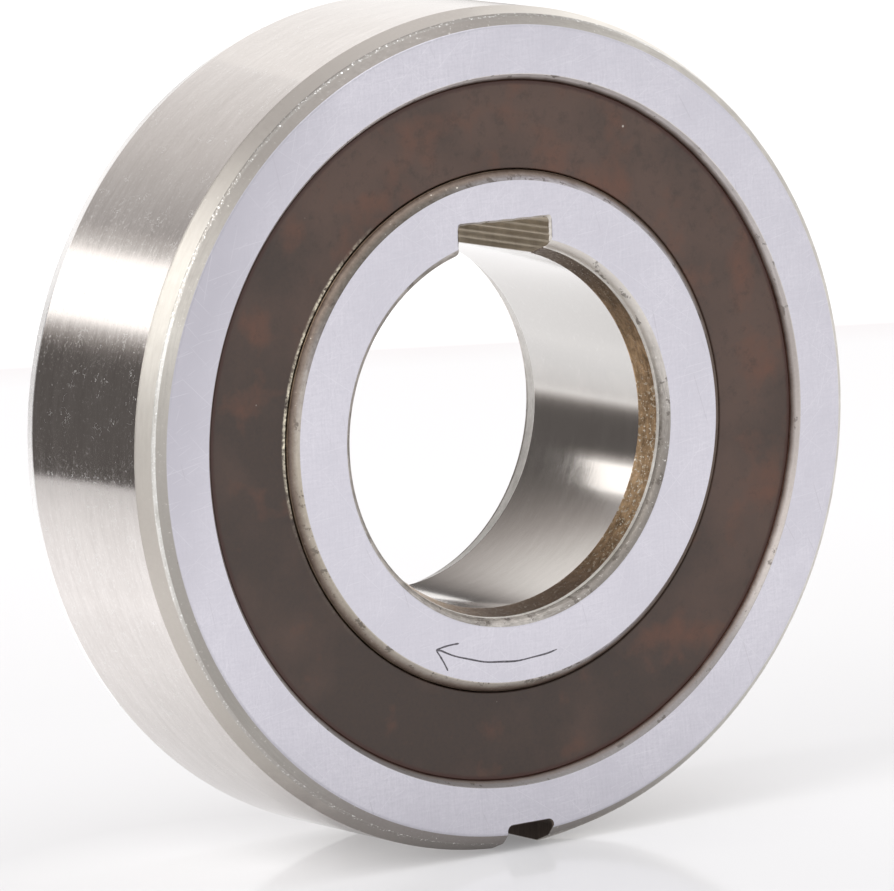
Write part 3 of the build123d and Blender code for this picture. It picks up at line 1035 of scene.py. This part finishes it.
for side, name in ((-1, "front_shield"), (1, "rear_shield")):
    rows, _ = cut_corners(
        [
            (shield_out, side * shield_back, 0.02, 0),
            (shield_out, side * (shield_front - shield_edge), 0.03, 0),
            (shield_out - shield_edge, side * shield_front, 0.03, 0),
            (shield_in + shield_edge, side * shield_front, 0.03, 0),
            (shield_in, side * (shield_front - shield_edge), 0.03, 0),
            (shield_in, side * shield_back, 0.02, 0),
        ]
    )
    washer = put_mesh("phenolic_" + name, *turned(rows), materials=[phenolic])
    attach(washer, "outer")
    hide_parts(name)


# ---- Arrow ---------------------------------------------------------------------------------
# A hand-scribed arrow on the shaft ring's front face: it points the way the ring turns freely.
# Each stroke is the low dark burr that a hard point leaves.

line_wide, line_proud, line_sunk = 0.13, 0.012, 0.002
arrow_radius, arrow_from, arrow_to = 12.74, 280.6, 245.0
arrow_tip, arrow_barbs = (-5.72, -11.45), ((-4.18, -11.3), (-5.0, -12.72))
barb_bows = ((0.0, 0.05), (0.04, 0.0))

scribed, tree, shader = blank("scribed_line")
burr = noise(tree, mm_place(tree), scale=7.0, detail=3.0)
tone = blend(tree, span(tree, burr, 0.35, 0.65), (0.07, 0.065, 0.075, 1), (0.2, 0.19, 0.21, 1))
tree.links.new(tone, shader.inputs["Base Color"])
shader.inputs["Roughness"].default_value = 0.6
shader.inputs["Metallic"].default_value = 0.4


def scribed_line(path, wide):
    """A low ridge along a path on the front face: five points across, a flattened half round.

    With u from -1 to 1 across the line, a point stands proud of the face by line_proud times
    1 - u squared, less line_sunk.
    """
    path = np.asarray(path, float)
    run = np.gradient(path, axis=0)
    run /= np.linalg.norm(run, axis=1)[:, None]
    beside = np.stack([-run[:, 1], run[:, 0]], -1)
    u = np.linspace(-1, 1, 5)
    swell = np.asarray(wide)[:, None] / 2 * u[None]
    flat = path[:, None] + beside[:, None] * swell[..., None]
    rise = -half - line_proud * (1 - u**2)[None] * np.ones((len(path), 1)) + line_sunk
    points = np.stack([flat[..., 0], rise, flat[..., 1]], -1).reshape(-1, 3)
    return points, grid_faces(len(path), 5)


# The stem is an arc round the axis, bowed a little and unsteady as a hand is; it ends at the tip.
u = np.linspace(0, 1, 60)
sweep = np.radians(arrow_from + (arrow_to - arrow_from) * u)
radius = arrow_radius + 0.06 * np.sin(u * np.pi) + 0.015 * np.sin(u * 23)
shaft = np.stack([radius * np.cos(sweep), radius * np.sin(sweep)], -1)
tip = np.array(arrow_tip)
joining = np.linspace(0.2, 1, 6)[:, None]
paths = [np.concatenate([shaft, shaft[-1] + (tip - shaft[-1]) * joining])]
steps = np.linspace(0, 1, 14)[:, None]
for barb, bow in zip(arrow_barbs, barb_bows):
    paths.append(tip + (np.array(barb) - tip) * steps + np.array(bow) * np.sin(steps * 3.1))
strokes, stroke_faces, start = [], [], 0
for path in paths:
    u = np.linspace(0, 1, len(path))
    waver = 0.86 + 0.16 * np.sin(u * 17 + 1) * np.sin(u * 5)
    ends = np.clip(np.minimum(u, 1 - u) * 14 + 0.45, 0, 1)
    points, faces = scribed_line(path, line_wide * waver * ends)
    strokes.append(points)
    stroke_faces.append(faces + start)
    start += len(points)
arrow = put_mesh(
    "free_way_arrow", np.concatenate(strokes), np.concatenate(stroke_faces), materials=[scribed]
)
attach(arrow, "inner")


# ---- Ball row ------------------------------------------------------------------------------
# Eleven chrome steel balls in a snap-in crown cage of moulded black polymer. They carry the
# shaft ring in the case behind the sprags, and the shields hide them.

ball_count = 11
ball_steel = ground_round(
    "ball_polished", (0.80, 0.79, 0.77, 1), (0.68, 0.67, 0.65, 1), rough=(0.05, 0.1), along=3.0
)
polymer = dull_steel(
    "cage_moulded", (0.012, 0.012, 0.014, 1), (0.03, 0.03, 0.033, 1), (0.4, 0.6), 2.0, 0.0
)


def refinish(name, material):
    """Gives a carried-over CAD solid one material on every slot."""
    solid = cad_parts[name]
    if not solid.material_slots:
        solid.data.materials.append(material)
    for place in solid.material_slots:
        place.material = material


for index in range(ball_count):
    refinish(f"ball_{index + 1:02d}", ball_steel)
refinish("ball_cage", polymer)


# ---- Sprag row -----------------------------------------------------------------------------
# Fourteen hardened sprags in a pressed steel cage; a garter spring in their end notches leans
# them all against both races.

sprag_count = 14
sprag_steel = dull_steel(
    "sprag_hardened", (0.42, 0.40, 0.37, 1), (0.62, 0.60, 0.57, 1), (0.2, 0.4), 1.5
)
pressed = dull_steel(
    "sprag_cage_pressed", (0.36, 0.32, 0.25, 1), (0.55, 0.50, 0.40, 1), (0.3, 0.5)
)
for index in range(sprag_count):
    refinish(f"sprag_{index + 1:02d}", sprag_steel)
refinish("sprag_cage", pressed)


# ---- Garter spring -------------------------------------------------------------------------
# Fine carbon steel wire, close-coiled, its two ends screwed into each other to close the ring.
# It lies in the notches at the sprags' ends.

wire, coil_turns = 0.15, 430
low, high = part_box("garter_spring")
coil_thick = (high.y - low.y) / 2 / MM
coil_radius = (high.x - low.x) / 2 / MM - coil_thick
coil_y = (high.y + low.y) / 2 / MM


def coil(radius, y, lift, turns, per_turn=8, sides=5):
    """A wire wound into a spring that runs round the clutch.

    At an angle A round the clutch the wire has rolled by turns times A. Its centre is radius +
    lift * cos(roll) from the axis and y + lift * sin(roll) along it, and its sides stand round
    that centre, at right angles to its run.
    """
    along = np.linspace(0, 2 * np.pi, turns * per_turn, endpoint=False)[:, None]
    roll = along * turns
    reach = radius + lift * np.cos(roll)
    rise = y + lift * np.sin(roll)
    centre = np.concatenate([reach * np.cos(along), rise, reach * np.sin(along)], 1)
    ahead = np.roll(centre, -1, 0) - np.roll(centre, 1, 0)
    ahead /= np.linalg.norm(ahead, axis=1)[:, None]
    lean = [np.cos(roll) * np.cos(along), np.sin(roll), np.cos(roll) * np.sin(along)]
    third = np.cross(ahead, np.concatenate(lean, 1))
    third /= np.linalg.norm(third, axis=1)[:, None]
    out = np.cross(third, ahead)
    u = np.linspace(0, 2 * np.pi, sides, endpoint=False)[None, :, None]
    points = centre[:, None] + wire / 2 * (np.cos(u) * out[:, None] + np.sin(u) * third[:, None])
    return points.reshape(-1, 3), grid_faces(len(centre), sides, True, True)


spring_wire = dull_steel(
    "spring_wire", (0.38, 0.37, 0.35, 1), (0.6, 0.58, 0.55, 1), (0.2, 0.35), 2.5
)
points, faces = coil(coil_radius, coil_y, coil_thick - wire / 2, coil_turns)
spring = put_mesh("garter_coil", points, faces, materials=[spring_wire], sharp=80)
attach(spring, "outer")
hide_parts("garter_spring")
